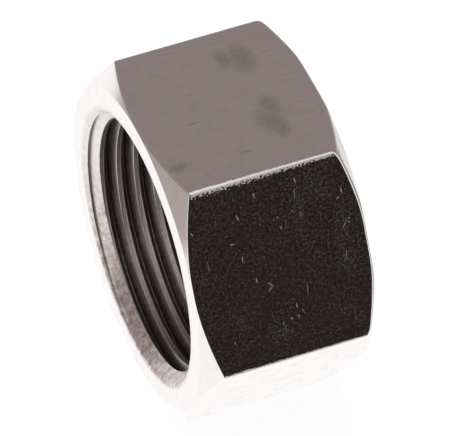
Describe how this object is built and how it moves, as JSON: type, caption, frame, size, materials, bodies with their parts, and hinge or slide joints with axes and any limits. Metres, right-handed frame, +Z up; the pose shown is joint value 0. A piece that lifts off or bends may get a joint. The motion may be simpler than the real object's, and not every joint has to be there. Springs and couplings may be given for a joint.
{
  "type": "union nut",
  "caption": "Hexagon union nut with a metric fine thread in its mouth, an internal conical seat and a bore for the tube at the other end.",
  "frame": {"origin": "on the nut's axis, halfway between the mouth face and the tube end face", "axes": "+X along the axis from the threaded mouth to the tube end, +Z up with the nut lying on one flat, +Y across two corners"},
  "size_m": [0.02, 0.0414, 0.036],
  "materials": {
    "zinc_plated_steel": "bright zinc plate over drawn and turned steel, fine grain, light scratches"
  },
  "bodies": {
    "root": {"union_nut": "zinc_plated_steel"}
  },
  "joints": []
}
